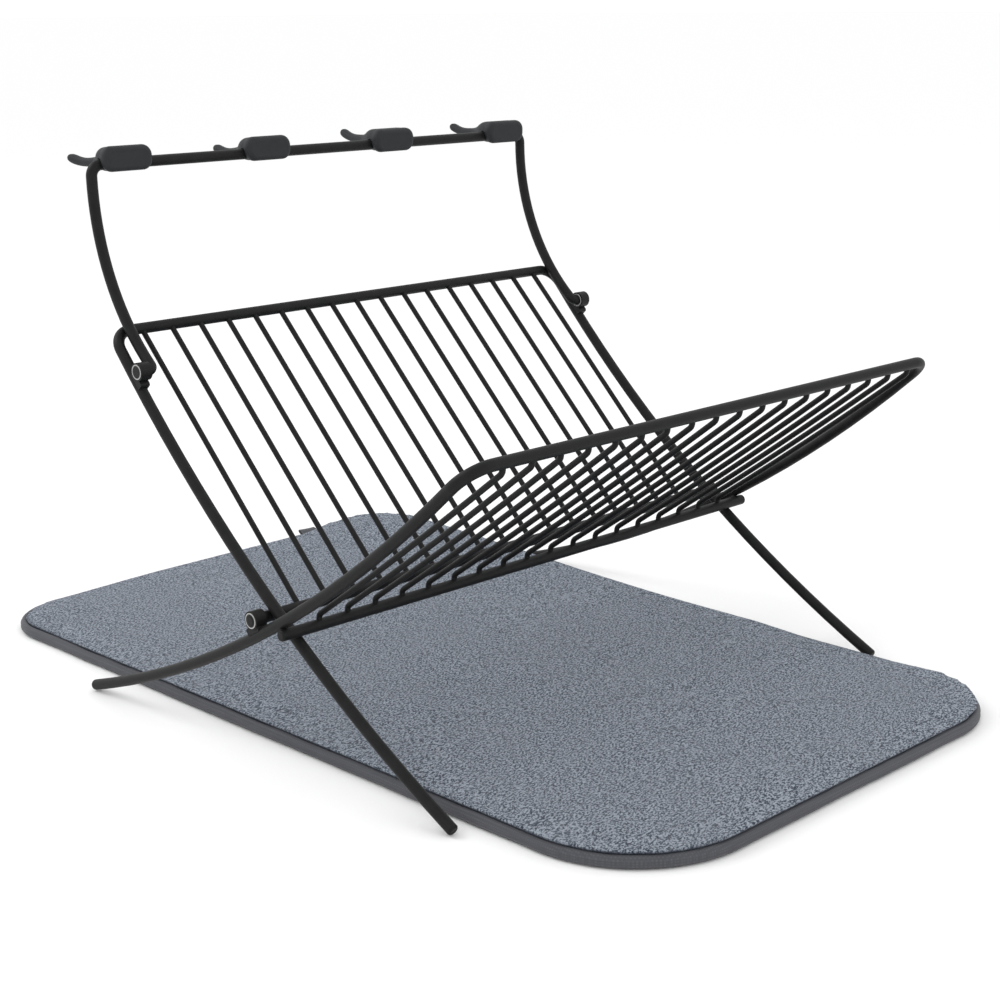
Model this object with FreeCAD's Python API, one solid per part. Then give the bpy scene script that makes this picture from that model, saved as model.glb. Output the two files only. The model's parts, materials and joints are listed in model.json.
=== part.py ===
import math
import os

from FreeCAD import Vector
import Part

# Folding dish drying rack with a hook frame, standing over a soft drying mat. Millimetres.
# Z is up, +X runs along the rods from left to right, and the front of the rack faces -Y.
# The origin is on the table, under the middle of the mat.
# The back rack is the fixed frame. The front rack turns about the axle bar, and the hook
# frame turns about two pins in the back rack's upper barrels.

# ---- driving dimensions ------------------------------------------------------------------
ROD_R = 4.0                  # all three bent frames, the axle bar and the stop bar
WIRE_R = 2.0                 # rack wires
ROD_END_ROUND = 1.6          # rounding of the cut rod ends

FRONT_HALF_WIDTH = 236.0     # rail centre line to the middle plane
BACK_HALF_WIDTH = 224.0
HOOK_HALF_WIDTH = 214.7

FRONT_ARC_CENTRE = (481.7, 1021.0)   # y, z of the arc that the front rack's rails follow
FRONT_ARC_R = 1065.3
BACK_ARC_CENTRE = (-697.5, 981.7)
BACK_ARC_R = 1091.5
HOOK_ARC_R = 165.0
HOOK_START_SLOPE = math.radians(39.65)   # of an arm where it leaves its pin, which leaves the
                             # arms 0.2 mm from the back top bar that they lean on

FRONT_TOP_Z = 239.2          # heights of the three top bars
BACK_TOP_Z = 273.0
HOOK_TOP_Z = 387.5
HOOK_PIVOT_Z = 249.8         # height of the pins that the hook frame turns on
FRONT_CORNER_R = 19.0        # centre-line radii of the bends beside the top bars
BACK_CORNER_R = 15.0
HOOK_CORNER_R = 8.0
PIN_BEND_R = 4.5             # tight bend from the hook frame's arm into its pin

BARREL_R = 6.5               # hinge barrels and the bushes inside them
BARREL_LENGTH = 9.0
BUSH_R = 5.3
BUSH_LENGTH = 9.6
PIN_CLEARANCE = 0.05         # radial, between a pin and its bush
BARREL_FOOT_LENGTH = 9.5     # welded foot, measured from the barrel's axis towards the rod's foot
BARREL_FOOT_BACK = 3.5
BARREL_FOOT_RISE = 3.2       # how far the foot stands above the rod's surface
BARREL_FOOT_WIDTH = 7.6
BARREL_FOOT_ROUND = 1.8
AXLE_HALF_LENGTH = 241.2
STOP_BAR_HALF_LENGTH = 241.0
STOP_GAP = 0.30              # open-position gap between the stop bar and the back rails

BACK_WIRE_COUNT = 17
BACK_WIRE_PITCH = 24.9
FRONT_WIRE_COUNT = 18
FRONT_WIRE_PITCH = 24.5
FRONT_WIRE_KNEE_R = 5.0      # small bends at both ends of a front wire
FRONT_WIRE_TURN = math.radians(48)
FRONT_WIRE_SAG = 1.3         # how far a front wire bows below a straight line
FRONT_WIRE_TOP = (2.4, -8.1)  # y, z from the top bar to the end of a front wire's long run
FRONT_WIRE_LOW = (-2.5, 8.8)  # y, z from the stop bar to the run's other end
FRONT_WIRE_TAIL = 1.6        # straight end past each small bend, let into the bar

CLIP_PITCH = 126.0           # four hook clips along the hook bar
CLIP_SPLAY = (-6.0, -1.0, 2.0, 0.0)  # sideways lean of each soft finger's tip
CLIP_NOD = (-2.4, -2.8, 3.0, 1.5)    # degrees that each clip has turned on the bar
# Cross-sections of a clip, from its front face to the finger's tip, relative to the bar:
# y, z, tilt of the section in degrees, half width, half height, corner rounding (0 to 1).
CLIP_SECTIONS = (
    (-10.6, 3.5, 0, 15.6, 5.0, 0.85),
    (-10.2, 3.5, 0, 18.4, 7.2, 0.85),
    (-8.8, 3.5, 0, 20.0, 8.5, 0.84),
    (-3.0, 3.6, 0, 19.6, 8.7, 0.84),
    (3.0, 3.4, -3, 18.2, 8.4, 0.84),
    (9.0, 2.8, -7, 15.6, 7.5, 0.84),
    (14.5, 1.9, -9, 12.2, 6.1, 0.85),
    (20.0, 1.2, -8, 9.0, 4.9, 0.88),
    (26.0, 0.7, -5, 6.3, 4.0, 0.92),
    (33.0, 0.4, -2, 4.8, 3.4, 0.95),
    (41.0, 0.3, 3, 4.0, 3.1, 0.96),
    (48.0, 1.0, 11, 3.8, 3.1, 0.96),
    (53.5, 2.5, 19, 3.8, 3.2, 0.96),
    (57.0, 3.8, 22, 3.1, 2.6, 0.96),
    (58.4, 4.3, 22, 1.6, 1.3, 0.96),
)
CLIP_MOUTH_R = 4.5           # wider mouths of a clip's bore, clear of the hook frame's bends
CLIP_MOUTH_START = 15.5      # x from the clip's middle
CLIP_SPLAY_START = 20.0      # y behind the bar where a finger starts to lean sideways

MAT_HALF_X = 208.0
MAT_HALF_Y = 354.0
MAT_CORNER_R = 70.0
MAT_BACK_THICKNESS = 1.5
MAT_CORE_TOP_Z = 9.5
MAT_TOP_Z = 13.0
MAT_BINDING_WIDTH = 6.0      # edge roll, seen from above
MAT_BINDING_TOP_Z = 9.0
MAT_BINDING_ROUND = 3.4
MAT_PILE_ROUND = 2.2
TAB_X = 125.0                # hanging tab on the mat's back edge
TAB_WIDTH = 18.0
TAB_REACH = 4.7
TAB_THICKNESS = 1.4

X_AXIS = Vector(1, 0, 0)


# ---- side-view geometry (y, z pairs) -------------------------------------------------------
def circles_meet(centre_a, r_a, centre_b, r_b):
    """The lower of the two points where two circles cross."""
    dy = centre_b[0] - centre_a[0]
    dz = centre_b[1] - centre_a[1]
    gap = math.hypot(dy, dz)
    along = (r_a * r_a - r_b * r_b + gap * gap) / (2 * gap)
    across = math.sqrt(r_a * r_a - along * along)
    base = (centre_a[0] + along * dy / gap, centre_a[1] + along * dz / gap)
    both = [(base[0] + k * across * dz / gap, base[1] - k * across * dy / gap) for k in (-1, 1)]
    return min(both, key=lambda p: p[1])


class RailArc:
    """A rail's centre line in side view. Angle u is measured from straight below the centre,
    and side is +1 where the rail climbs towards +Y and -1 where it climbs towards -Y."""

    def __init__(self, centre, radius, side):
        self.centre = centre
        self.radius = radius
        self.side = side

    def point(self, u, inward=0.0):
        r = self.radius - inward
        return (self.centre[0] + self.side * r * math.sin(u), self.centre[1] - r * math.cos(u))

    def point_at_height(self, z, inward=0.0):
        return self.point(math.acos((self.centre[1] - z) / (self.radius - inward)), inward)

    def tangent(self, u):
        return (self.side * math.cos(u), math.sin(u))

    def inward(self, u):
        return (-self.side * math.sin(u), math.cos(u))

    def angle_at(self, p):
        return math.atan2(self.side * (p[0] - self.centre[0]), self.centre[1] - p[1])

    def foot_angle(self):
        """Angle at which a rod cut square has its lowest rim on the table."""
        return math.acos(self.centre[1] / (self.radius + ROD_R))

    def corner_angle(self, corner_r, bar_z):
        """Angle where the bend starts, so that the bar's centre ends at height bar_z."""
        phase = math.atan2(corner_r, self.radius)
        reach = math.hypot(corner_r, self.radius)
        return math.acos((self.centre[1] - bar_z) / reach) - phase


def shifted(p, direction, distance):
    return (p[0] + direction[0] * distance, p[1] + direction[1] * distance)


def at(x, p):
    return Vector(x, p[0], p[1])


def heading(angle):
    """Unit y, z pair that points along an angle, counted from +Y towards +Z."""
    return (math.cos(angle), math.sin(angle))


FRONT_ARC = RailArc(FRONT_ARC_CENTRE, FRONT_ARC_R, -1)
BACK_ARC = RailArc(BACK_ARC_CENTRE, BACK_ARC_R, 1)

# The axle bar lies against the underside of the back rails, and the front rack's barrels
# stand on the front rails. The stop bar lies under the front rails and meets the back rails.
AXLE = circles_meet(FRONT_ARC_CENTRE, FRONT_ARC_R - ROD_R - BARREL_R,
                    BACK_ARC_CENTRE, BACK_ARC_R + 2 * ROD_R)
STOP_BAR = circles_meet(FRONT_ARC_CENTRE, FRONT_ARC_R + 2 * ROD_R,
                        BACK_ARC_CENTRE, BACK_ARC_R - 2 * ROD_R - STOP_GAP)
HOOK_PIVOT = BACK_ARC.point_at_height(HOOK_PIVOT_Z, ROD_R + BARREL_R)


# ---- rods and bars -------------------------------------------------------------------------
def line(a, b):
    return Part.LineSegment(a, b).toShape()


def arc3(a, mid, b):
    return Part.Arc(a, mid, b).toShape()


def rail_edge(arc, x, u_from, u_to):
    middle = (u_from + u_to) / 2
    return arc3(at(x, arc.point(u_from)), at(x, arc.point(middle)), at(x, arc.point(u_to)))


def bend_edge(start, along, inward, radius):
    """Quarter bend that starts at start along one direction and ends along inward."""
    middle = start + inward * (radius * (1 - math.cos(math.pi / 4)))
    middle = middle + along * (radius * math.sin(math.pi / 4))
    return arc3(start, middle, start + inward * radius + along * radius)


def sweep(edges, radius):
    path = Part.Wire(edges)
    start = edges[0].valueAt(edges[0].FirstParameter)
    tangent = edges[0].tangentAt(edges[0].FirstParameter)
    section = Part.Wire([Part.Circle(start, tangent, radius).toShape()])
    return path.makePipeShell([section], True, False)


def rounded_ends(rod, points, amount):
    picked = []
    for edge in rod.Edges:
        is_rim = edge.Curve.TypeId == "Part::GeomCircle" and edge.Closed
        if is_rim and min((edge.Curve.Center - p).Length for p in points) < 0.01:
            picked.append(edge)
    return rod.makeFillet(amount, picked)


def reversed_arc(edge):
    """The same circular edge, walked the other way."""
    first = edge.valueAt(edge.FirstParameter)
    last = edge.valueAt(edge.LastParameter)
    middle = edge.valueAt((edge.FirstParameter + edge.LastParameter) / 2)
    return arc3(last, middle, first)


def mirrored(edge):
    first = edge.valueAt(edge.FirstParameter)
    last = edge.valueAt(edge.LastParameter)
    middle = edge.valueAt((edge.FirstParameter + edge.LastParameter) / 2)
    flipped = [Vector(-p.x, p.y, p.z) for p in (last, middle, first)]
    return arc3(*flipped)


def u_frame(arc, half_width, corner_r, bar_z):
    """Bent rod: foot, rail, bend, top bar, bend, rail, foot. Returns the rod and the bar's y, z."""
    u_foot = arc.foot_angle()
    u_bend = arc.corner_angle(corner_r, bar_z)
    rail = rail_edge(arc, -half_width, u_foot, u_bend)
    along = at(0, arc.tangent(u_bend))
    bend = bend_edge(at(-half_width, arc.point(u_bend)), along, X_AXIS, corner_r)
    bar = shifted(arc.point(u_bend), arc.tangent(u_bend), corner_r)
    straight = line(at(-half_width + corner_r, bar), at(half_width - corner_r, bar))
    rod = sweep([rail, bend, straight, mirrored(bend), mirrored(rail)], ROD_R)
    feet = [at(x, arc.point(u_foot)) for x in (-half_width, half_width)]
    return rounded_ends(rod, feet, ROD_END_ROUND), bar


def hook_frame():
    """Bent rod: pin, tight bend, arm, bend, hook bar, and the same mirrored."""
    tangent = heading(HOOK_START_SLOPE)
    arm_start = shifted(HOOK_PIVOT, tangent, PIN_BEND_R)
    centre = shifted(arm_start, (-tangent[1], tangent[0]), HOOK_ARC_R)
    arm_arc = RailArc(centre, HOOK_ARC_R, 1)
    u_bend = arm_arc.corner_angle(HOOK_CORNER_R, HOOK_TOP_Z)

    pin_end = -BACK_HALF_WIDTH - BUSH_LENGTH / 2 - 0.1
    bend_x = -HOOK_HALF_WIDTH - PIN_BEND_R
    pin = line(at(pin_end, HOOK_PIVOT), at(bend_x, HOOK_PIVOT))
    pin_bend = bend_edge(at(bend_x, HOOK_PIVOT), X_AXIS, at(0, tangent), PIN_BEND_R)
    arm = rail_edge(arm_arc, -HOOK_HALF_WIDTH, HOOK_START_SLOPE, u_bend)
    along = at(0, arm_arc.tangent(u_bend))
    corner = bend_edge(at(-HOOK_HALF_WIDTH, arm_arc.point(u_bend)), along, X_AXIS, HOOK_CORNER_R)
    bar = shifted(arm_arc.point(u_bend), arm_arc.tangent(u_bend), HOOK_CORNER_R)
    half_bar = HOOK_HALF_WIDTH - HOOK_CORNER_R
    straight = line(at(-half_bar, bar), at(half_bar, bar))
    last_pin = line(at(-bend_x, HOOK_PIVOT), at(-pin_end, HOOK_PIVOT))
    edges = [pin, pin_bend, arm, corner, straight]
    edges += [mirrored(corner), mirrored(arm), mirrored(pin_bend), last_pin]
    rod = sweep(edges, ROD_R)
    ends = [at(x, HOOK_PIVOT) for x in (pin_end, -pin_end)]
    return rounded_ends(rod, ends, 0.5), bar


def cross_bar(p, half_length):
    bar = Part.makeCylinder(ROD_R, 2 * half_length, at(-half_length, p), X_AXIS)
    ends = [at(x, p) for x in (-half_length, half_length)]
    return rounded_ends(bar, ends, ROD_END_ROUND)


# ---- hinges --------------------------------------------------------------------------------
def tube(x, p, outer_r, inner_r, length):
    outer = Part.makeCylinder(outer_r, length, at(x - length / 2, p), X_AXIS)
    inner = Part.makeCylinder(inner_r, length, at(x - length / 2, p), X_AXIS)
    return outer.cut(inner)


def hinge_barrel(x, p, arc, rod):
    """Short tube on a rail, with its welded foot on the side towards the rail's foot."""
    u = arc.angle_at(p)
    normal = arc.inward(u)
    down = shifted((0, 0), arc.tangent(u), -1)
    low = -BARREL_R - ROD_R / 2
    high = -BARREL_R + BARREL_FOOT_RISE
    corners = []
    for along, out in ((-BARREL_FOOT_BACK, low), (BARREL_FOOT_LENGTH, low),
                       (BARREL_FOOT_LENGTH, high), (-BARREL_FOOT_BACK, high)):
        corners.append(at(x - BARREL_FOOT_WIDTH / 2, shifted(shifted(p, down, along), normal, out)))
    foot = Part.Face(Part.makePolygon(corners + corners[:1])).extrude(X_AXIS * BARREL_FOOT_WIDTH)
    outer_edge = min(foot.Edges, key=lambda e: (e.CenterOfMass - at(x, shifted(
        shifted(p, down, BARREL_FOOT_LENGTH), normal, high))).Length)
    foot = foot.makeFillet(BARREL_FOOT_ROUND, [outer_edge])
    barrel = Part.makeCylinder(BARREL_R, BARREL_LENGTH, at(x - BARREL_LENGTH / 2, p), X_AXIS)
    bore = Part.makeCylinder(BUSH_R, BARREL_LENGTH, at(x - BARREL_LENGTH / 2, p), X_AXIS)
    whole = barrel.fuse(foot).removeSplitter().cut(bore).cut(rod)
    return max(whole.Solids, key=lambda s: s.Volume)


def hinge_bush(x, p):
    return tube(x, p, BUSH_R, ROD_R + PIN_CLEARANCE, BUSH_LENGTH)


# ---- wires ---------------------------------------------------------------------------------
def repeated(piece, count, pitch):
    copies = []
    for i in range(count):
        copy = piece.copy()
        copy.translate(X_AXIS * ((i - (count - 1) / 2) * pitch))
        copies.append(copy)
    return Part.makeCompound(copies)


def bar_cutter(p):
    return Part.makeCylinder(ROD_R, 8 * WIRE_R, at(-4 * WIRE_R, p), X_AXIS)


def back_wires(bar):
    start = at(0, AXLE)
    end = at(0, bar)
    wire = Part.makeCylinder(WIRE_R, (end - start).Length, start, end - start)
    wire = wire.cut(bar_cutter(AXLE)).cut(bar_cutter(bar))
    return repeated(wire.Solids[0], BACK_WIRE_COUNT, BACK_WIRE_PITCH)


def turn_clockwise(p, angle, turn, radius):
    """End point and middle point of a clockwise turn that starts at p with a heading angle."""
    centre = shifted(p, heading(angle - math.pi / 2), radius)
    middle = shifted(centre, heading(angle - turn / 2 + math.pi / 2), radius)
    end = shifted(centre, heading(angle - turn + math.pi / 2), radius)
    return middle, end


def wire_end(p, angle):
    """Edges of the small bend and tail at one end of a front wire, from p outward."""
    middle, end = turn_clockwise(p, angle, FRONT_WIRE_TURN, FRONT_WIRE_KNEE_R)
    tail = shifted(end, heading(angle - FRONT_WIRE_TURN), FRONT_WIRE_TAIL)
    return arc3(at(0, p), at(0, middle), at(0, end)), line(at(0, end), at(0, tail))


def front_wires(bar):
    """Wires that rise from the stop bar and hook up under the top bar."""
    bow = 2 * math.atan2(2 * FRONT_WIRE_SAG, math.hypot(bar[0] - STOP_BAR[0], bar[1] - STOP_BAR[1]))
    top = (bar[0] + FRONT_WIRE_TOP[0], bar[1] + FRONT_WIRE_TOP[1])
    low = (STOP_BAR[0] + FRONT_WIRE_LOW[0], STOP_BAR[1] + FRONT_WIRE_LOW[1])
    rise = math.atan2(top[1] - low[1], top[0] - low[0])
    across = heading(rise + math.pi / 2)
    middle = shifted(((top[0] + low[0]) / 2, (top[1] + low[1]) / 2), across, FRONT_WIRE_SAG)
    run = arc3(at(0, low), at(0, middle), at(0, top))
    top_bend, top_tail = wire_end(top, rise - bow / 2)
    low_bend, low_tail = wire_end(low, rise + math.pi + bow / 2)
    low_end = low_tail.valueAt(low_tail.LastParameter)
    low_knee = low_tail.valueAt(low_tail.FirstParameter)
    edges = [line(low_end, low_knee), reversed_arc(low_bend), run, top_bend, top_tail]
    wire = sweep(edges, WIRE_R).cut(bar_cutter(STOP_BAR)).cut(bar_cutter(bar))
    wire = max(wire.Solids, key=lambda s: s.Volume)
    return repeated(wire, FRONT_WIRE_COUNT, FRONT_WIRE_PITCH)


# ---- hook clips ----------------------------------------------------------------------------
def clip_section(x, p, tilt, half_w, half_h, rounding):
    """Closed outline of a clip at one place: a rounded rectangle across the finger's direction."""
    up = Vector(0, -math.sin(tilt), math.cos(tilt))
    centre = at(x, p)
    r = rounding * min(half_w, half_h)
    w = half_w - r
    h = half_h - r
    k = r * math.sqrt(0.5)
    edges = []
    for sx, sz in ((1, 1), (-1, 1), (-1, -1), (1, -1)):
        side = centre + X_AXIS * (sx * half_w) + up * (sz * h)
        knee = centre + X_AXIS * (sx * (w + k)) + up * (sz * (h + k))
        top = centre + X_AXIS * (sx * w) + up * (sz * half_h)
        edges.append(arc3(side, knee, top) if sx * sz > 0 else arc3(top, knee, side))
    joined = []
    for i, edge in enumerate(edges):
        following = edges[(i + 1) % 4]
        joined.append(edge)
        joined.append(line(edge.valueAt(edge.LastParameter), following.valueAt(following.FirstParameter)))
    return Part.Wire(joined)


def hook_clip(x, bar, splay, nod):
    finger = CLIP_SECTIONS[-1][0] - CLIP_SPLAY_START
    wires = []
    for y, z, tilt, half_w, half_h, rounding in CLIP_SECTIONS:
        lean = splay * (max(0.0, y - CLIP_SPLAY_START) / finger) ** 1.5
        place = (bar[0] + y, bar[1] + z)
        wires.append(clip_section(x + lean, place, math.radians(tilt), half_w, half_h, rounding))
    body = Part.makeLoft(wires, True, False)
    body.rotate(at(x, bar), X_AXIS, nod)
    reach = 2 * max(section[3] for section in CLIP_SECTIONS)
    cutters = [Part.makeCylinder(ROD_R + PIN_CLEARANCE, 2 * reach, at(x - reach, bar), X_AXIS)]
    for side in (-1, 1):
        start = at(x + side * CLIP_MOUTH_START, bar)
        cutters.append(Part.makeCylinder(CLIP_MOUTH_R, reach, start, X_AXIS * side))
    return body.cut(cutters).Solids[0]


# ---- mat -----------------------------------------------------------------------------------
def mat_outline(inset, z):
    hx = MAT_HALF_X - inset
    hy = MAT_HALF_Y - inset
    r = MAT_CORNER_R - inset
    k = r * (1 - math.sqrt(0.5))
    sides = [line(Vector(hx, -hy + r, z), Vector(hx, hy - r, z)),
             arc3(Vector(hx, hy - r, z), Vector(hx - k, hy - k, z), Vector(hx - r, hy, z)),
             line(Vector(hx - r, hy, z), Vector(-hx + r, hy, z)),
             arc3(Vector(-hx + r, hy, z), Vector(-hx + k, hy - k, z), Vector(-hx, hy - r, z)),
             line(Vector(-hx, hy - r, z), Vector(-hx, -hy + r, z)),
             arc3(Vector(-hx, -hy + r, z), Vector(-hx + k, -hy + k, z), Vector(-hx + r, -hy, z)),
             line(Vector(-hx + r, -hy, z), Vector(hx - r, -hy, z)),
             arc3(Vector(hx - r, -hy, z), Vector(hx - k, -hy + k, z), Vector(hx, -hy + r, z))]
    return Part.Wire(sides)


def mat_layer(inset, z_low, z_high):
    return Part.Face(mat_outline(inset, z_low)).extrude(Vector(0, 0, z_high - z_low))


def edges_at(shape, z):
    picked = []
    for edge in shape.Edges:
        if abs(edge.BoundBox.ZMin - z) < 0.01 and abs(edge.BoundBox.ZMax - z) < 0.01:
            picked.append(edge)
    return picked


def mat_backing():
    return mat_layer(MAT_BINDING_WIDTH, 0.0, MAT_BACK_THICKNESS)


def mat_core():
    return mat_layer(MAT_BINDING_WIDTH, MAT_BACK_THICKNESS, MAT_CORE_TOP_Z)


def mat_pile():
    inset = MAT_BINDING_WIDTH - 1.0
    pile = mat_layer(inset, MAT_CORE_TOP_Z, MAT_TOP_Z)
    return pile.makeFillet(MAT_PILE_ROUND, edges_at(pile, MAT_TOP_Z))


def mat_binding():
    ring = mat_layer(0.0, 0.0, MAT_BINDING_TOP_Z)
    outer = []
    for z in (0.0, MAT_BINDING_TOP_Z):
        outer += edges_at(ring, z)
    ring = ring.makeFillet(MAT_BINDING_ROUND, outer)
    return ring.cut(mat_layer(MAT_BINDING_WIDTH, -1.0, MAT_BINDING_TOP_Z + 1.0))


def mat_hanging_tab():
    corner = Vector(TAB_X - TAB_WIDTH / 2, MAT_HALF_Y - TAB_REACH, MAT_BINDING_TOP_Z)
    return Part.makeBox(TAB_WIDTH, TAB_REACH, TAB_THICKNESS, corner)


# ---- assembly ------------------------------------------------------------------------------
def build_nodes():
    nodes = {}
    back_rod, back_bar = u_frame(BACK_ARC, BACK_HALF_WIDTH, BACK_CORNER_R, BACK_TOP_Z)
    front_rod, front_bar = u_frame(FRONT_ARC, FRONT_HALF_WIDTH, FRONT_CORNER_R, FRONT_TOP_Z)
    hook_rod, hook_bar = hook_frame()

    nodes["back_frame_rod"] = back_rod
    nodes["axle_bar"] = cross_bar(AXLE, AXLE_HALF_LENGTH)
    nodes["back_wires"] = back_wires(back_bar)
    nodes["front_frame_rod"] = front_rod
    nodes["stop_bar"] = cross_bar(STOP_BAR, STOP_BAR_HALF_LENGTH)
    nodes["front_wires"] = front_wires(front_bar)
    nodes["hook_frame_rod"] = hook_rod
    for side, sign in (("left", -1), ("right", 1)):
        upper_x = sign * BACK_HALF_WIDTH
        lower_x = sign * FRONT_HALF_WIDTH
        nodes["upper_hinge_barrel_" + side] = hinge_barrel(upper_x, HOOK_PIVOT, BACK_ARC, back_rod)
        nodes["upper_hinge_bush_" + side] = hinge_bush(upper_x, HOOK_PIVOT)
        nodes["lower_hinge_barrel_" + side] = hinge_barrel(lower_x, AXLE, FRONT_ARC, front_rod)
        nodes["lower_hinge_bush_" + side] = hinge_bush(lower_x, AXLE)
    for i, (splay, nod) in enumerate(zip(CLIP_SPLAY, CLIP_NOD)):
        x = (i - (len(CLIP_SPLAY) - 1) / 2) * CLIP_PITCH
        nodes["hook_clip_%d" % (i + 1)] = hook_clip(x, hook_bar, splay, nod)
    nodes["mat_backing"] = mat_backing()
    nodes["mat_foam_core"] = mat_core()
    nodes["mat_terry_top"] = mat_pile()
    nodes["mat_edge_binding"] = mat_binding()
    nodes["mat_hanging_tab"] = mat_hanging_tab()
    return nodes


os.makedirs("parts", exist_ok=True)
for name, shape in build_nodes().items():
    box = shape.BoundBox
    print("%-24s solids %2d valid %s volume %9.0f  x %.1f..%.1f  y %.1f..%.1f  z %.1f..%.1f" % (
        name, len(shape.Solids), shape.isValid(), shape.Volume,
        box.XMin, box.XMax, box.YMin, box.YMax, box.ZMin, box.ZMax))
    shape.exportStep("parts/%s.step" % name)
print("axle y %.3f z %.3f" % AXLE)
print("hook pivot y %.3f z %.3f" % HOOK_PIVOT)
print("hook bar y %.3f z %.3f" % hook_frame()[1])
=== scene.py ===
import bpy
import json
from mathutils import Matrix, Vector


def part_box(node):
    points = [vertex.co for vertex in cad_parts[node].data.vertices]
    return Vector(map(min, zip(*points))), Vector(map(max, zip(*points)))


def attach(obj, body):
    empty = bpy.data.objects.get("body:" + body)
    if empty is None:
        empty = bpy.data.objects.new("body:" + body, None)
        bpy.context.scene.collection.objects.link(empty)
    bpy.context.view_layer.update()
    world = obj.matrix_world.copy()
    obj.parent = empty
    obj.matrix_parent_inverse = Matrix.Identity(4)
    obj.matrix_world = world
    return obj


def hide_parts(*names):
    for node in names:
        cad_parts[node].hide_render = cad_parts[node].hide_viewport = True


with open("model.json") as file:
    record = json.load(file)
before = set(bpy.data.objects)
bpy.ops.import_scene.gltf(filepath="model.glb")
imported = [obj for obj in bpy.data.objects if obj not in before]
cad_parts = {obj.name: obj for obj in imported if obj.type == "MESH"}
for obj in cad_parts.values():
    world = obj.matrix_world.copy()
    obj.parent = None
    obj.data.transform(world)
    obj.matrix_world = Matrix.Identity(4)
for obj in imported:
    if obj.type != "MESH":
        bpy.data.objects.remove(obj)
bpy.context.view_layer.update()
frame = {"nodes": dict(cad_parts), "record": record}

import json
import math

import bpy
import numpy as np
from mathutils import Matrix, Vector, noise

MM = 0.001

scene = bpy.context.scene


# ---- camera, light and floor ----------------------------------------------------------------
CAMERA_PLACE = (-0.9447, -0.9845, 0.4947)
CAMERA_AZIMUTH = math.radians(-44.67)
CAMERA_ELEVATION = math.radians(14.88)
CAMERA_ROLL = math.radians(-0.376)
CAMERA_LENS = 67.08          # millimetres, as SENSOR_WIDTH
SENSOR_WIDTH = 36
NEAREST_SEEN = 0.01
FARTHEST_SEEN = 300

WHITE = (1, 1, 1, 1)
WORLD_STRENGTH = 1.08
AREA_LIGHTS = (              # name, place, target, width and depth, watts
    ("key", (-1.2, 1.5, 1.9), (0, 0, 0.05), (1.2, 1.2), 16),
    ("front", (0.6, -2.4, 1.5), (0, 0, 0.1), (1.6, 1.6), 5),
)

FLOOR_HALF = 90.0
FLOOR_COLOUR = (0.92, 0.92, 0.92)


def add_camera():
    back = Vector((
        math.sin(CAMERA_AZIMUTH) * math.cos(CAMERA_ELEVATION),
        -math.cos(CAMERA_AZIMUTH) * math.cos(CAMERA_ELEVATION),
        math.sin(CAMERA_ELEVATION),
    ))
    level = Vector((math.cos(CAMERA_AZIMUTH), math.sin(CAMERA_AZIMUTH), 0))
    up = back.cross(level)
    right = level * math.cos(CAMERA_ROLL) + up * math.sin(CAMERA_ROLL)
    turn = Matrix((right, back.cross(right), back)).transposed()
    data = bpy.data.cameras.new("camera")
    data.lens = CAMERA_LENS
    data.sensor_width = SENSOR_WIDTH
    data.clip_start = NEAREST_SEEN
    data.clip_end = FARTHEST_SEEN
    camera = bpy.data.objects.new("camera", data)
    camera.matrix_world = Matrix.Translation(CAMERA_PLACE) @ turn.to_4x4()
    scene.collection.objects.link(camera)
    scene.camera = camera


def add_area_light(name, place, target, size, watts):
    data = bpy.data.lights.new(name, "AREA")
    data.shape = "RECTANGLE"
    data.size, data.size_y = size
    data.energy = watts
    light = bpy.data.objects.new(name, data)
    light.location = place
    light.rotation_euler = (Vector(target) - Vector(place)).to_track_quat("-Z", "Y").to_euler()
    scene.collection.objects.link(light)


def add_studio():
    world = bpy.data.worlds.new("studio")
    world.use_nodes = True
    background = world.node_tree.nodes["Background"]
    background.inputs["Color"].default_value = WHITE
    background.inputs["Strength"].default_value = WORLD_STRENGTH
    scene.world = world
    scene.view_settings.view_transform = "Standard"
    for light in AREA_LIGHTS:
        add_area_light(*light)


def add_floor():
    s = Shader("floor", Roughness=0.9, Specular_IOR_Level=0.0)
    s.set("Base Color", FLOOR_COLOUR)
    sides = ((-1, -1), (1, -1), (1, 1), (-1, 1))
    corners = [(sx * FLOOR_HALF, sy * FLOOR_HALF, 0) for sx, sy in sides]
    floor = mesh_object("floor", corners, [(0, 1, 2, 3)], s.material)


# ---- node materials -------------------------------------------------------------------------
def rgba(value):
    """A colour of three numbers gets its alpha; anything else stays as it is."""
    if isinstance(value, tuple) and len(value) == 3:
        return (*value, 1)
    return value


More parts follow.
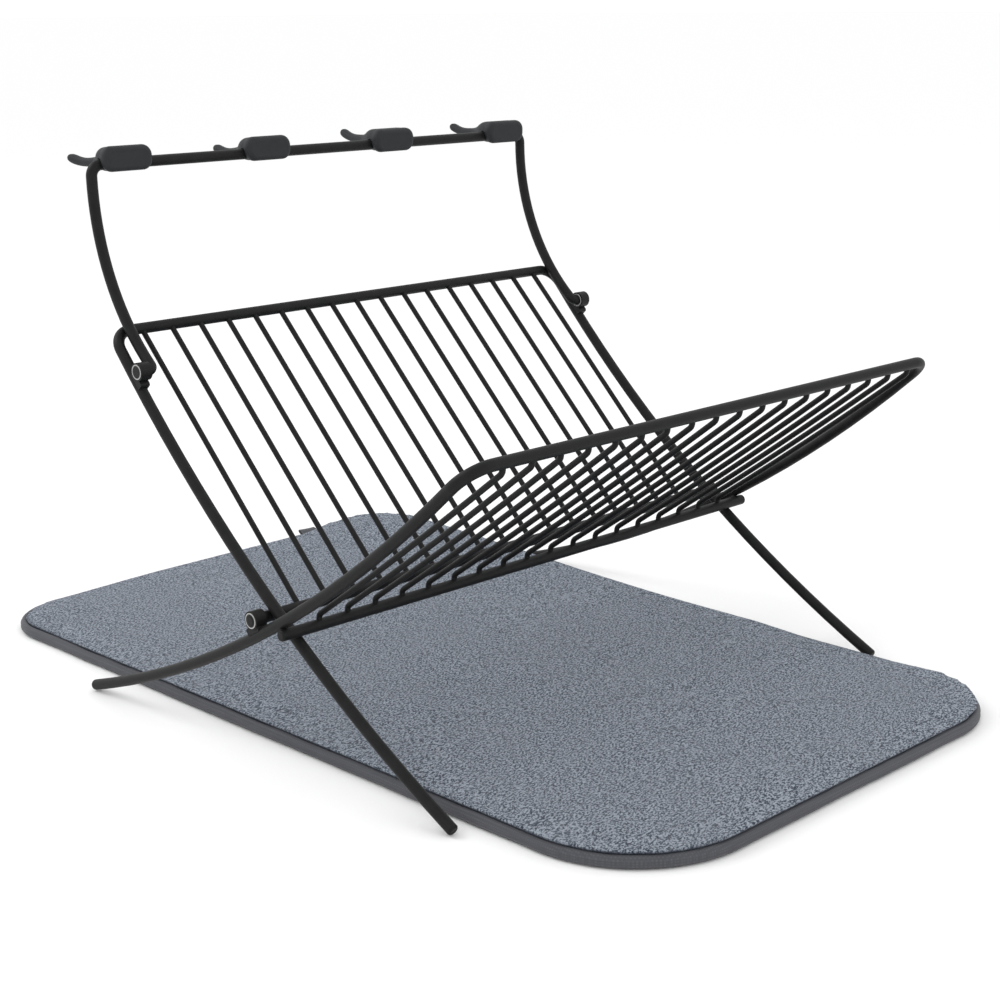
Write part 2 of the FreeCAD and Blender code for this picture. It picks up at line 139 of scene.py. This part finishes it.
class Shader:
    """A Principled material whose sockets take numbers, colours or links."""

    def __init__(self, name, **values):
        self.material = bpy.data.materials.new(name)
        self.material.use_nodes = True
        self.tree = self.material.node_tree
        self.principled = self.tree.nodes["Principled BSDF"]
        self.place = self.node("ShaderNodeTexCoord").outputs["Object"]
        for socket, value in values.items():
            self.set(socket.replace("_", " "), value)

    def node(self, kind, inputs=None, **settings):
        made = self.tree.nodes.new(kind)
        for key, value in settings.items():
            setattr(made, key, value)
        for key, value in (inputs or {}).items():
            self.feed(made.inputs[key], value)
        return made

    def feed(self, socket, value):
        if isinstance(value, bpy.types.NodeSocket):
            self.tree.links.new(value, socket)
        else:
            socket.default_value = value

    def set(self, socket, value):
        self.feed(self.principled.inputs[socket], rgba(value))

    def noise(self, size, detail=2.0, roughness=0.5, vector=None):
        """Noise whose grains are about size metres across."""
        return self.node("ShaderNodeTexNoise", {
            "Vector": vector or self.place,
            "Scale": 1 / size,
            "Detail": detail,
            "Roughness": roughness,
        }).outputs["Fac"]

    def ramp(self, value, *stops):
        """Stops are (position, colour) or (position, grey)."""
        made = self.node("ShaderNodeValToRGB", {"Fac": value})
        elements = made.color_ramp.elements
        while len(elements) < len(stops):
            elements.new(0.5)
        for element, (position, colour) in zip(elements, stops):
            element.position = position
            element.color = rgba(colour if isinstance(colour, tuple) else (colour, colour, colour))
        return made.outputs["Color"]

    def math(self, operation, first, second):
        made = self.node("ShaderNodeMath", {0: first, 1: second}, operation=operation)
        return made.outputs["Value"]

    def scaled(self, value, factor, base=0.0):
        """value * factor + base"""
        product = self.math("MULTIPLY", value, factor)
        return self.math("ADD", product, base) if base else product

    def mix(self, amount, first, second):
        made = self.node("ShaderNodeMix", data_type="RGBA")
        for socket, value in ((0, amount), (6, first), (7, second)):
            self.feed(made.inputs[socket], rgba(value))
        return made.outputs[2]

    def stretch(self, scale, turn=(0, 0, 0), vector=None):
        return self.node("ShaderNodeMapping", {
            "Vector": vector or self.place,
            "Scale": scale,
            "Rotation": turn,
        }).outputs["Vector"]

    def bump(self, *layers):
        """Layers are (height value, depth in metres), the coarsest first."""
        normal = None
        for height, depth in layers:
            made = self.node("ShaderNodeBump", {"Height": height, "Distance": depth})
            if normal:
                self.feed(made.inputs["Normal"], normal)
            normal = made.outputs["Normal"]
        self.set("Normal", normal)


COAT_DARK = (0.0060, 0.0061, 0.0065)
COAT_LIGHT = (0.0105, 0.0106, 0.0110)
COAT_SPECK = (0.026, 0.026, 0.0265)


def powder_coat():
    """Satin black paint, faintly blotched, with a fine grain."""
    s = Shader("black_powder_coat_detail", Specular_IOR_Level=0.16)
    blotch = s.noise(9 * MM, 3)
    speckle = s.noise(0.45 * MM, 2, 0.6)
    tone = s.mix(s.ramp(blotch, (0.3, 0.0), (0.75, 1.0)), COAT_DARK, COAT_LIGHT)
    tone = s.mix(s.ramp(speckle, (0.55, 0.0), (0.75, 0.5)), tone, COAT_SPECK)
    s.set("Base Color", tone)
    s.set("Roughness", s.scaled(blotch, 0.16, 0.40))
    s.bump((s.noise(1.4 * MM, 2), 0.05 * MM), (speckle, 0.035 * MM))
    return s.material


RUBBER_DARK = (0.0215, 0.0230, 0.0250)
RUBBER_LIGHT = (0.0285, 0.0305, 0.0330)
RUBBER_DUST = (0.044, 0.047, 0.051)


def clip_rubber():
    """Dark matt rubber with a little dust in its grain."""
    s = Shader("clip_rubber_detail", Specular_IOR_Level=0.16)
    patch = s.noise(6 * MM, 3)
    grain = s.noise(0.35 * MM, 2, 0.6)
    tone = s.mix(patch, RUBBER_DARK, RUBBER_LIGHT)
    s.set("Base Color", s.mix(s.ramp(grain, (0.5, 0.0), (0.8, 0.35)), tone, RUBBER_DUST))
    s.set("Roughness", s.scaled(grain, 0.18, 0.50))
    s.bump((patch, 0.06 * MM), (grain, 0.02 * MM))
    return s.material


NYLON_DARK = (0.34, 0.34, 0.335)
NYLON_LIGHT = (0.46, 0.46, 0.45)
NYLON_BORE_SHADE = (0.030, 0.030, 0.031)
BORE_SHADE_FULL = 4.55 * MM      # radius from the pin's axis up to which painted shade darkens the nylon
BORE_SHADE_GONE = 4.75 * MM
RADIUS_SPAN = 10 * MM        # the radius that the ramp's full length stands for


def bush_nylon():
    """Light nylon with painted shade in the bore's mouth round the pin, standing in for the
    shadowed gap there.
    """
    s = Shader("bush_nylon_detail", Specular_IOR_Level=0.45)
    haze = s.noise(1.5 * MM, 3)
    across = s.stretch((0, 1, 1))
    from_axes = []
    for name in ("lower_hinge_bush_left", "upper_hinge_bush_left"):
        low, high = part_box(name)
        centre = (0, (low.y + high.y) / 2, (low.z + high.z) / 2)
        distance = s.node("ShaderNodeVectorMath", {0: across, 1: centre}, operation="DISTANCE")
        from_axes.append(distance.outputs["Value"])
    radius = s.scaled(s.math("MINIMUM", *from_axes), 1 / RADIUS_SPAN)
    # painted shade: the nylon goes dark within a small radius of the pin's axis, for the shadowed
    # gap at the bore's mouth
    unshaded = s.ramp(radius, (BORE_SHADE_FULL / RADIUS_SPAN, 0.0), (BORE_SHADE_GONE / RADIUS_SPAN, 1.0))
    s.set("Base Color", s.mix(unshaded, NYLON_BORE_SHADE, s.mix(haze, NYLON_DARK, NYLON_LIGHT)))
    s.set("Roughness", s.scaled(haze, 0.2, 0.35))
    s.bump((s.noise(0.3 * MM, 2), 0.01 * MM))
    return s.material


LOOP_SHADE = (0.024, 0.030, 0.047)
LOOP_SIDE = (0.158, 0.182, 0.217)
LOOP_TIP = (0.320, 0.356, 0.408)
TERRY_FADED = (0.180, 0.195, 0.222)
TERRY_CREASE_SHADE = (0.026, 0.031, 0.048)
TERRY_SHEEN = (0.80, 0.86, 0.95)
NAP_TURN = -math.radians(12)
CREASE_SHADE_BELOW = 9.5 * MM      # height over the table below which painted shade darkens the pile in the crease behind the binding
CREASE_SHADE_FADE = 1.6 * MM


def terry():
    """Blue-grey microfibre loops in rows that run from side to side, with painted shade low down in
    the crease behind the binding.
    """
    s = Shader(
        "mat_terry_detail",
        Specular_IOR_Level=0.1, Roughness=0.95, Sheen_Weight=0.12, Sheen_Roughness=0.6,
    )
    nap = s.stretch((1, 1, 1), (0, 0, NAP_TURN))
    rows = s.stretch((0.6, 1.0, 0.7), vector=nap)
    slits = s.noise(1.3 * MM, 1, 0.5, rows)
    curl = s.noise(0.85 * MM, 1, 0.5)
    drift = s.noise(45 * MM, 3)
    height = s.math("ADD", s.scaled(slits, 0.58), s.scaled(curl, 0.42))
    tone = s.ramp(height, (0.43, LOOP_SHADE), (0.50, LOOP_SIDE), (0.57, LOOP_TIP))
    tone = s.mix(s.ramp(drift, (0.35, 0.0), (0.70, 0.22)), tone, TERRY_FADED)
    # painted shade: the pile's colour goes dark towards the table, for the crease behind the
    # binding
    level = s.node("ShaderNodeSeparateXYZ", {"Vector": s.place}).outputs["Z"]
    clear = s.scaled(s.math("SUBTRACT", level, CREASE_SHADE_BELOW), 1 / CREASE_SHADE_FADE)
    s.set("Base Color", s.mix(s.ramp(clear, (0.0, 0.0), (1.0, 1.0)), TERRY_CREASE_SHADE, tone))
    s.set("Sheen Tint", TERRY_SHEEN)
    s.bump((slits, 1.0 * MM), (curl, 0.7 * MM))
    return s.material


WAVE_BANDS = 20 / math.pi    # light and dark bands per metre in a wave texture of scale 1


def woven(name, dark, light, pitch, depth):
    """Plain woven cloth or tape: crossing sets of threads, pitch metres apart."""
    s = Shader(
        name, Specular_IOR_Level=0.15, Roughness=0.85, Sheen_Weight=0.12, Sheen_Roughness=0.5
    )
    threads = []
    for direction in ("X", "Y", "Z"):
        wave = s.node("ShaderNodeTexWave", {
            "Vector": s.place,
            "Scale": 1 / (pitch * WAVE_BANDS),
            "Distortion": 0.6,
            "Detail": 1.0,
            "Detail Scale": 1.5,
        }, bands_direction=direction)
        threads.append(wave.outputs["Fac"])
    crossed = s.math("MULTIPLY", s.math("MULTIPLY", threads[0], threads[1]), threads[2])
    weave = s.math("POWER", crossed, 0.5)
    fuzz = s.noise(0.5 * MM, 2)
    wear = s.noise(14 * MM, 3)
    s.set("Base Color", s.mix(s.scaled(wear, 0.35), s.mix(weave, dark, light), light))
    s.bump((wear, 0.3 * MM), (weave, depth), (fuzz, 0.1 * MM))
    return s.material


TAPE_DARK = (0.066, 0.068, 0.077)
TAPE_LIGHT = (0.098, 0.100, 0.111)
CLOTH_DARK = (0.10, 0.11, 0.13)
CLOTH_LIGHT = (0.17, 0.185, 0.21)

CAD_MATERIALS = {            # by the record's material slots
    "black_powder_coat": powder_coat(),
    "bush_nylon": bush_nylon(),
    "clip_rubber": clip_rubber(),
}
TERRY = terry()
TAPE = woven("mat_binding_tape_detail", TAPE_DARK, TAPE_LIGHT, 0.9 * MM, 0.12 * MM)
BACK_CLOTH = woven("mat_backing_cloth_detail", CLOTH_DARK, CLOTH_LIGHT, 1.6 * MM, 0.3 * MM)


def finish_cad_nodes():
    slots = {row["node"]: row["material_slot"] for row in frame["record"]["subparts"]}
    for name, node in frame["nodes"].items():
        if slots[name] in CAD_MATERIALS:
            for slot in node.material_slots:
                slot.material = CAD_MATERIALS[slots[name]]


# ---- meshes ---------------------------------------------------------------------------------
def shade(mesh, smooth):
    for polygon in mesh.polygons:
        polygon.use_smooth = smooth


def mesh_object(name, vertices, faces, material):
    mesh = bpy.data.meshes.new(name)
    mesh.from_pydata([tuple(v) for v in vertices], [], faces)
    mesh.validate()
    mesh.materials.append(material)
    shade(mesh, True)
    obj = bpy.data.objects.new(name, mesh)
    scene.collection.objects.link(obj)
    return obj


def slab(name, rim, low, high, material):
    """A flat slab between two heights inside one closed outline."""
    count = len(rim)
    vertices = [(*p, low) for p in rim] + [(*p, high) for p in rim]
    faces = [tuple(range(count))[::-1], tuple(range(count, 2 * count))]
    faces += [(j, (j + 1) % count, count + (j + 1) % count, count + j) for j in range(count)]
    return mesh_object(name, vertices, faces, material)


def apply_modifiers(obj):
    depsgraph = bpy.context.evaluated_depsgraph_get()
    mesh = bpy.data.meshes.new_from_object(obj.evaluated_get(depsgraph))
    obj.modifiers.clear()
    old = obj.data
    obj.data = mesh
    bpy.data.meshes.remove(old)


def subdivide(obj):
    modifier = obj.modifiers.new("subdivide", "SUBSURF")
    modifier.levels = modifier.render_levels = 1
    apply_modifiers(obj)


def coordinates(mesh):
    places = np.empty(len(mesh.vertices) * 3)
    mesh.vertices.foreach_get("co", places)
    return places.reshape(-1, 3)


def set_coordinates(mesh, places):
    mesh.vertices.foreach_set("co", np.asarray(places, dtype=np.float32).ravel())
    mesh.update()


def soft_wave(x, y, size, seed):
    return noise.noise(Vector((x / size, y / size, seed)))


def ease(value):
    value = min(1.0, max(0.0, value))
    return value * value * (3 - 2 * value)


# ---- the mat's outline and how it lies ------------------------------------------------------
_, mat_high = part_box("mat_edge_binding")
HALF_X = mat_high.x + 1.9 * MM   # the cloth mat isn't quite square, and is a little wider
HALF_Y = mat_high.y
MAT_TURN = 0.006                 # radians
MAT_SHIFT = Vector((2.0 * MM, 2.6 * MM))
CORNERS = (                  # side in x, side in y, radius
    (1, 1, 70 * MM),
    (-1, 1, 54 * MM),
    (-1, -1, 88 * MM),
    (1, -1, 80 * MM),
)
CORNER_POINTS = 6            # the fewest steps round one corner

CORNER_LIFT = 11 * MM        # the corner behind the rack's right side curls up
LIFT_FROM_X, LIFT_OVER_X = 110 * MM, 90 * MM
LIFT_FROM_Y, LIFT_OVER_Y = -60 * MM, 390 * MM


def outline(inset, step):
    """Points and outward directions round the mat's rounded rectangle, drawn in by inset."""
    arcs = []
    for k, (sx, sy, radius) in enumerate(CORNERS):
        centre = Vector((sx * (HALF_X - radius), sy * (HALF_Y - radius)))
        count = max(CORNER_POINTS, round(radius * math.pi / 2 / step))
        angles = [math.radians(90 * (k + j / count)) for j in range(count + 1)]
        outs = [Vector((math.cos(a), math.sin(a))) for a in angles]
        arcs.append([(centre + out * (radius - inset), out) for out in outs])
    points = []
    for k, arc in enumerate(arcs):
        points += arc
        (start, out), (end, _) = arc[-1], arcs[(k + 1) % len(arcs)][0]
        count = round((end - start).length / step)
        points += [(start.lerp(end, j / count), out) for j in range(1, count)]
    return points


def past_corner(x, y):
    """The nearest corner's radius, and how far the point lies past its centre in x and in y."""
    radius = next(r for sx, sy, r in CORNERS if sx * x >= 0 and sy * y >= 0)
    return radius, abs(x) - (HALF_X - radius), abs(y) - (HALF_Y - radius)


def rim_depth(x, y):
    """Distance in from the mat's outline."""
    radius, past_x, past_y = past_corner(x, y)
    if past_x > 0 and past_y > 0:
        return radius - math.hypot(past_x, past_y)
    return min(HALF_X - abs(x), HALF_Y - abs(y))


def outward(x, y):
    """Direction straight out of the mat's outline near one point."""
    _, past_x, past_y = past_corner(x, y)
    if past_x > 0 and past_y > 0:
        out = Vector((past_x, past_y)).normalized()
    else:
        out = Vector((1, 0)) if HALF_X - abs(x) < HALF_Y - abs(y) else Vector((0, 1))
    return Vector((math.copysign(out.x, x), math.copysign(out.y, y)))


def lay_on_table(obj):
    """Turns a finished mat piece to how the mat lies, with its one corner curled up."""
    cos, sin = math.cos(MAT_TURN), math.sin(MAT_TURN)
    for vertex in obj.data.vertices:
        x, y, z = vertex.co
        curl = ease((x - LIFT_FROM_X) / LIFT_OVER_X) * ease((y - LIFT_FROM_Y) / LIFT_OVER_Y)
        vertex.co = (
            x * cos - y * sin + MAT_SHIFT.x,
            x * sin + y * cos + MAT_SHIFT.y,
            z + CORNER_LIFT * curl,
        )
    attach(obj, "drying_mat")


# ---- the padded terry panel -----------------------------------------------------------------
PAD_STEP = 10 * MM
PAD_VOXEL = 5 * MM
PAD_INSET = 2.4 * MM
PAD_LOW_Z = 1.4 * MM
PAD_RIM_Z = 11.2 * MM

HELD_BELOW = 3.5 * MM        # the panel is sewn down below this height
HELD_RIM = 5.5 * MM          # and this far in from the outline
PAD_PRESSURE = 4.0
CLOTH_QUALITY = 4
CLOTH_FRAMES = 20
PAD_PUFF = 2.0 * MM          # the most that the stuffing may lift the panel
PAD_FLOOR = 1.2 * MM
NO_LENGTH = 1e-9

TUCK_EDGE = 4.5 * MM         # vertices closer to the outline than this become the wall
TUCK_INNER = 11 * MM         # those deeper than this stay where they are
EDGE_SQUEEZE = 0.25          # how much of the wall's own unevenness is left
WALL_DEPTH = 7.0 * MM        # how far in from the outline the wall stands
RIM_SWELL = 4.8 * MM         # how far the rim comes out over it
FLAT_RIM_SWELL = 2.4 * MM    # and how much less it does where the pad is flat
SWELL_FROM_Z, SWELL_OVER_Z = 7.0 * MM, 3.0 * MM
RIM_LEVEL = 0.8              # share of the way that the rim is drawn to one height
RIM_LEVEL_OVER = 4 * MM
RIM_RAISE = 1.0 * MM
FLAT_RIM_RAISE = 1.8 * MM    # how much less the rim is raised where the pad is flat
RAISE_FROM, RAISE_OVER = 3.5 * MM, 9 * MM

FLAT_CORNER_FROM, FLAT_CORNER_OVER = 40 * MM, 130 * MM
FLAT_SIDE = 0.9
FLAT_SIDE_WIDTH, FLAT_SIDE_FADE = 30 * MM, 10 * MM
FLAT_SIDE_Y = -205 * MM
FLAT_SIDE_FROM, FLAT_SIDE_OVER = 35 * MM, 60 * MM

PILE_FROM, PILE_OVER = 5 * MM, 6 * MM
PILE_FACES_UP = -0.2         # where the panel looks further down than this it carries no pile


def inflate(pad):
    """Cloth pressure rounds the panel between its bound edges; how far a point moves is capped."""
    held = pad.vertex_groups.new(name="held")
    blank = coordinates(pad.data)
    pinned = [
        j for j, (x, y, z) in enumerate(blank) if z < HELD_BELOW or rim_depth(x, y) < HELD_RIM
    ]
    held.add(pinned, 1.0, "REPLACE")
    cloth = pad.modifiers.new("cloth", "CLOTH")
    cloth.settings.use_pressure = True
    cloth.settings.uniform_pressure_force = PAD_PRESSURE
    cloth.settings.vertex_group_mass = "held"
    cloth.settings.effector_weights.gravity = 0
    cloth.settings.quality = CLOTH_QUALITY
    for number in range(1, CLOTH_FRAMES + 1):
        scene.frame_set(number)
    apply_modifiers(pad)
    scene.frame_set(1)
    move = coordinates(pad.data) - blank
    length = np.linalg.norm(move, axis=1, keepdims=True)
    move *= np.minimum(1.0, PAD_PUFF / np.maximum(length, NO_LENGTH))
    places = blank + move
    places[:, 2] = np.maximum(places[:, 2], PAD_FLOOR)
    set_coordinates(pad.data, places)
    pad.vertex_groups.clear()


def flatness(x, y):
    """1 where the rim lies flatter and leaves the binding in view, down to 0 where it is full:
    it is flat near the back left corner and along part of the right side."""
    from_corner = math.hypot(x + HALF_X, y - HALF_Y)
    at_corner = 1 - ease((from_corner - FLAT_CORNER_FROM) / FLAT_CORNER_OVER)
    across = ease((x - HALF_X + FLAT_SIDE_WIDTH) / FLAT_SIDE_FADE)
    along = 1 - ease((abs(y - FLAT_SIDE_Y) - FLAT_SIDE_FROM) / FLAT_SIDE_OVER)
    return max(at_corner, FLAT_SIDE * (across * along))


def tuck(pad):
    """The rim swells out over the binding, and the wall below it is drawn in behind the binding."""
    places = coordinates(pad.data)
    for place in places:
        x, y, z = place
        depth = rim_depth(x, y)
        if depth > TUCK_INNER:
            continue
        flat = flatness(x, y)
        swell = ease((z - SWELL_FROM_Z) / SWELL_OVER_Z)
        wall = WALL_DEPTH - swell * (RIM_SWELL - FLAT_RIM_SWELL * flat)
        if depth < TUCK_EDGE:
            wanted = wall - (TUCK_EDGE - depth) * EDGE_SQUEEZE
        else:
            share = (depth - TUCK_EDGE) / (TUCK_INNER - TUCK_EDGE)
            wanted = wall + (TUCK_INNER - wall) * share
        out = outward(x, y)
        place[0] += out.x * (depth - wanted)
        place[1] += out.y * (depth - wanted)
        near = 1 - ease((depth - TUCK_EDGE) / RIM_LEVEL_OVER)
        place[2] += (PAD_RIM_Z - z) * RIM_LEVEL * near * swell
        raised = 1 - ease((depth - RAISE_FROM) / RAISE_OVER)
        place[2] += (RIM_RAISE - FLAT_RIM_RAISE * flat) * swell * raised
    set_coordinates(pad.data, places)


def pile(pad):
    """The looped pile stands up from the panel, uneven loop by loop."""
    places = coordinates(pad.data)
    normals = np.array([v.normal[:] for v in pad.data.vertices])
    for j, (x, y, _) in enumerate(places):
        if normals[j, 2] < PILE_FACES_UP:
            continue
        grow = min(1.0, max(0.0, (rim_depth(x, y) - PILE_FROM) / PILE_OVER))
        loops = (
            soft_wave(x * 0.8, y, 4.2 * MM, 3.1) * 0.30
            + soft_wave(x, y, 9 * MM, 8.4) * 0.22
        )
        hollow = (
            soft_wave(x, y, 70 * MM, 1.7) * 0.5
            + soft_wave(x, y, 28 * MM, 5.5) * 0.25
        )
        places[j] += normals[j] * (loops * (0.4 + 0.8 * grow) + hollow * grow) * MM
    set_coordinates(pad.data, places)


def make_pad():
    rim = [point for point, _ in outline(PAD_INSET, PAD_STEP)]
    pad = slab("mat_pad", rim, PAD_LOW_Z, PAD_RIM_Z, TERRY)
    remesh = pad.modifiers.new("remesh", "REMESH")
    remesh.mode = "VOXEL"
    remesh.voxel_size = PAD_VOXEL
    apply_modifiers(pad)
    inflate(pad)
    tuck(pad)
    subdivide(pad)
    pile(pad)
    shade(pad.data, True)
    lay_on_table(pad)
    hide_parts("mat_terry_top", "mat_foam_core")


# ---- binding, back cloth and tab ------------------------------------------------------------
BINDING_STEP = 4 * MM
BINDING_PROFILE = (          # millimetres: out from the mat's outline, height
    (-5.6, 6.6), (-5.0, 8.0), (-3.8, 8.8), (-2.4, 8.7), (-1.2, 7.9), (-0.5, 6.7), (-0.45, 6.2),
    (0.05, 5.9), (0.1, 5.3), (-0.2, 4.9), (-0.15, 3.4), (0.2, 3.1), (0.15, 2.5), (-0.3, 2.1),
    (-1.2, 0.7), (-3.0, 0.05), (-8.0, 0.0), (-10.5, 0.1), (-10.5, 1.2), (-7.0, 3.0),
)
BINDING_IN = 0.6             # millimetres that the whole tape is drawn in
HIDDEN_TAPE = -6             # profile points further in than this sway less
HIDDEN_SWAY = 0.3
TAPE_ON_TABLE = 1            # profile points no higher than this lie on the table

BACK_CLOTH_STEP = 6 * MM
BACK_CLOTH_INSET = 5 * MM
BACK_CLOTH_LOW = 0.15 * MM
BACK_CLOTH_HIGH = 0.95 * MM

TAB_ROUTE = (                # millimetres: out from the mat's back edge, height
    (-6, 8.4), (-3, 9.1), (0, 10.4), (2.2, 11.9), (3.3, 13.2), (2.6, 14.2), (0.9, 13.8),
    (-1.2, 12.3), (-4, 10.9), (-6, 10.2),
)
TAB_ROOT_Z = TAB_ROUTE[0][1]
TAB_THICK = 0.7              # millimetres
TAB_SQUASH = 0.45            # share of its height that the loop loses towards its right end
TAB_STATIONS = 9


def make_binding():
    """Woven tape folded round the mat's edge and drawn tight, as one closed band."""
    ring = outline(0.0, BINDING_STEP)
    count, across = len(ring), len(BINDING_PROFILE)
    vertices = []
    for (x, y), out in ring:
        sway = soft_wave(x, y, 45 * MM, 2.2) * 0.7 + soft_wave(x, y, 13 * MM, 6.1) * 0.25
        swell = 1.0 + 0.06 * soft_wave(x, y, 22 * MM, 9.3)
        for u, z in BINDING_PROFILE:
            share = 1.0 if u > HIDDEN_TAPE else HIDDEN_SWAY
            shift = (u - BINDING_IN + sway * share) * MM
            height = z * swell * MM if z > TAPE_ON_TABLE else z * MM
            vertices.append((x + out.x * shift, y + out.y * shift, height))
    faces = []
    for k in range(count):
        here, there = k * across, (k + 1) % count * across
        for j in range(across):
            beside = (j + 1) % across
            faces.append((here + j, here + beside, there + beside, there + j))
    binding = mesh_object("mat_binding", vertices, faces, TAPE)
    subdivide(binding)
    lay_on_table(binding)
    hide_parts("mat_edge_binding")
    return binding


def make_backing():
    rim = [point for point, _ in outline(BACK_CLOTH_INSET, BACK_CLOTH_STEP)]
    backing = slab("mat_back_cloth", rim, BACK_CLOTH_LOW, BACK_CLOTH_HIGH, BACK_CLOTH)
    shade(backing.data, False)
    lay_on_table(backing)
    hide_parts("mat_backing")
    return backing


def tab_section(x, squash):
    """Both faces of the folded tape at one place across the tab, point by point of its route."""
    section = []
    for k, (y, z) in enumerate(TAB_ROUTE):
        before = Vector(TAB_ROUTE[max(k - 1, 0)])
        after = Vector(TAB_ROUTE[min(k + 1, len(TAB_ROUTE) - 1)])
        along = (after - before).normalized()
        side = Vector((along.y, -along.x))
        height = TAB_ROOT_Z + (z - TAB_ROOT_Z) * squash
        for offset in (TAB_THICK / 2, -TAB_THICK / 2):
            place = Vector((y, height)) + side * offset
            section.append((x, HALF_Y + place.x * MM, place.y * MM))
    return section


def make_tab():
    """A short loop of tape sewn into the binding, folded flat."""
    low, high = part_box("mat_hanging_tab")
    vertices = []
    for i in range(TAB_STATIONS):
        share = i / (TAB_STATIONS - 1)
        vertices += tab_section(low.x + (high.x - low.x) * share, 1 - TAB_SQUASH * share)
    row = 2 * len(TAB_ROUTE)
    last_row = row * (TAB_STATIONS - 1)
    faces = []
    for start in range(0, last_row, row):
        for a in range(start, start + row - 2, 2):
            b = a + row
            faces.append((a, a + 2, b + 2, b))
            faces.append((a + 1, b + 1, b + 3, a + 3))
        end = start + row - 2
        faces.append((start, start + 1, start + row + 1, start + row))
        faces.append((end, end + row, end + row + 1, end + 1))
    for a in range(0, row - 2, 2):
        faces.append((a + 2, a + 3, a + 1, a))
    for a in range(last_row, last_row + row - 2, 2):
        faces.append((a, a + 1, a + 3, a + 2))
    tab = mesh_object("mat_tab", vertices, faces, TAPE)
    lay_on_table(tab)
    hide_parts("mat_hanging_tab")
    return tab


add_camera()
add_studio()
finish_cad_nodes()
make_pad()
binding = make_binding()
backing = make_backing()
tab = make_tab()
add_floor()
